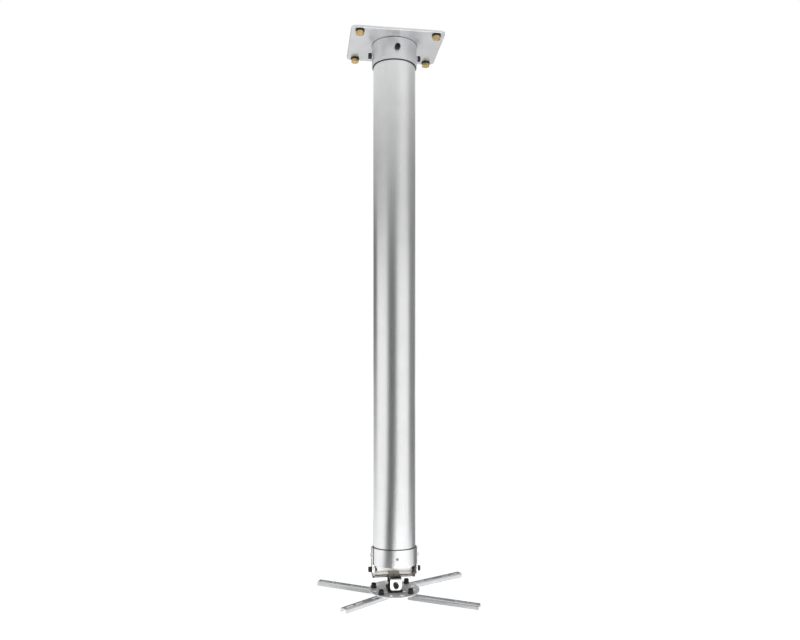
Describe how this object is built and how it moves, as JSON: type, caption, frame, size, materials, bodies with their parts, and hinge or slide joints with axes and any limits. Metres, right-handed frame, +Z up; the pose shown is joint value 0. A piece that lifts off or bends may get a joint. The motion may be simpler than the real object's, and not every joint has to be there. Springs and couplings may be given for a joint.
{
  "type": "projector ceiling mount",
  "caption": "Projector ceiling mount: square plate with clamp collar, long round tube, and a tilting, rolling head whose disc carries slotted swivel arms.",
  "frame": {"origin": "centre of the ceiling plate's upper face, on the tube's axis", "axes": "+Z up along the tube, out of the ceiling face; +X along the plate's long side; -Y towards the front of the head"},
  "size_m": [0.2836, 0.183, 1.0237],
  "materials": {
    "silver_paint": "fine silver powder coat",
    "satin_aluminium": "satin anodised",
    "zinc_steel": "bright zinc plate",
    "yellow_zinc": "yellow passivated zinc",
    "black_oxide": "black oxide",
    "dark_steel": "plain steel"
  },
  "bodies": {
    "ceiling": {"ceiling_plate": "silver_paint", "ceiling_collar": "silver_paint", "ceiling_screws": "yellow_zinc", "ceiling_washers": "black_oxide", "clamp_screws": "black_oxide"},
    "tube": {"tube": "satin_aluminium", "lower_collar": "satin_aluminium", "collar_ear_left": "zinc_steel", "collar_ear_right": "zinc_steel", "ear_screws": "zinc_steel", "set_screws": "dark_steel", "tilt_bolts": "black_oxide", "tilt_nuts": "zinc_steel"},
    "stirrup": {"stirrup": "zinc_steel", "yoke": "zinc_steel", "yoke_screw": "dark_steel", "roll_bolt": "black_oxide", "roll_nut": "black_oxide"},
    "disc": {"adapter_disc": "silver_paint", "pivot_bracket": "black_oxide", "bracket_rivets": "dark_steel"},
    "arm_clamp_front_left": {"arm_bolt_front_left": "dark_steel", "arm_nut_front_left": "black_oxide"},
    "arm_front_left": {"arm_front_left": "silver_paint"},
    "arm_clamp_front_right": {"arm_bolt_front_right": "dark_steel", "arm_nut_front_right": "black_oxide"},
    "arm_front_right": {"arm_front_right": "silver_paint"},
    "arm_clamp_rear_right": {"arm_bolt_rear_right": "dark_steel", "arm_nut_rear_right": "black_oxide"},
    "arm_rear_right": {"arm_rear_right": "silver_paint"},
    "arm_clamp_rear_left": {"arm_bolt_rear_left": "dark_steel", "arm_nut_rear_left": "black_oxide"},
    "arm_rear_left": {"arm_rear_left": "silver_paint"}
  },
  "joints": [
    {"name": "tube_turn", "type": "hinge", "parent": "ceiling", "child": "tube", "pos_m": [0, 0, -0.0233], "axis": [0, 0, 1], "range_deg": [-180, 180]},
    {"name": "stirrup_tilt", "type": "hinge", "parent": "tube", "child": "stirrup", "pos_m": [0, 0, -0.9627], "axis": [1, 0, 0], "range_deg": [-26, 14]},
    {"name": "disc_roll", "type": "hinge", "parent": "stirrup", "child": "disc", "pos_m": [0, 0.0024, -0.98557], "axis": [0, 0.9945, 0.1045], "range_deg": [-10, 10]},
    {"name": "arm_swivel_front_left", "type": "hinge", "parent": "disc", "child": "arm_clamp_front_left", "pos_m": [-0.02687, -0.02275, -1.0033], "axis": [0, -0.1045, 0.9945], "range_deg": [-10, 10]},
    {"name": "arm_reach_front_left", "type": "slide", "parent": "arm_clamp_front_left", "child": "arm_front_left", "axis": [-0.7986, -0.5985, -0.0629], "range_m": [0, 0.038]},
    {"name": "arm_swivel_front_right", "type": "hinge", "parent": "disc", "child": "arm_clamp_front_right", "pos_m": [0.02687, -0.02275, -1.0033], "axis": [0, -0.1045, 0.9945], "range_deg": [-20, 20]},
    {"name": "arm_reach_front_right", "type": "slide", "parent": "arm_clamp_front_right", "child": "arm_front_right", "axis": [0.8846, -0.4638, -0.0488], "range_m": [-0.008, 0]},
    {"name": "arm_swivel_rear_right", "type": "hinge", "parent": "disc", "child": "arm_clamp_rear_right", "pos_m": [0.02687, 0.0307, -0.99768], "axis": [0, -0.1045, 0.9945], "range_deg": [-20, 20]},
    {"name": "arm_reach_rear_right", "type": "slide", "parent": "arm_clamp_rear_right", "child": "arm_rear_right", "axis": [0.8965, 0.4406, 0.0463], "range_m": [-0.016, 0]},
    {"name": "arm_swivel_rear_left", "type": "hinge", "parent": "disc", "child": "arm_clamp_rear_left", "pos_m": [-0.03671, 0.01375, -0.99946], "axis": [0, -0.1045, 0.9945], "range_deg": [-10, 10]},
    {"name": "arm_reach_rear_left", "type": "slide", "parent": "arm_clamp_rear_left", "child": "arm_rear_left", "axis": [-0.8746, 0.4822, 0.0507], "range_m": [0, 0.0155]}
  ]
}
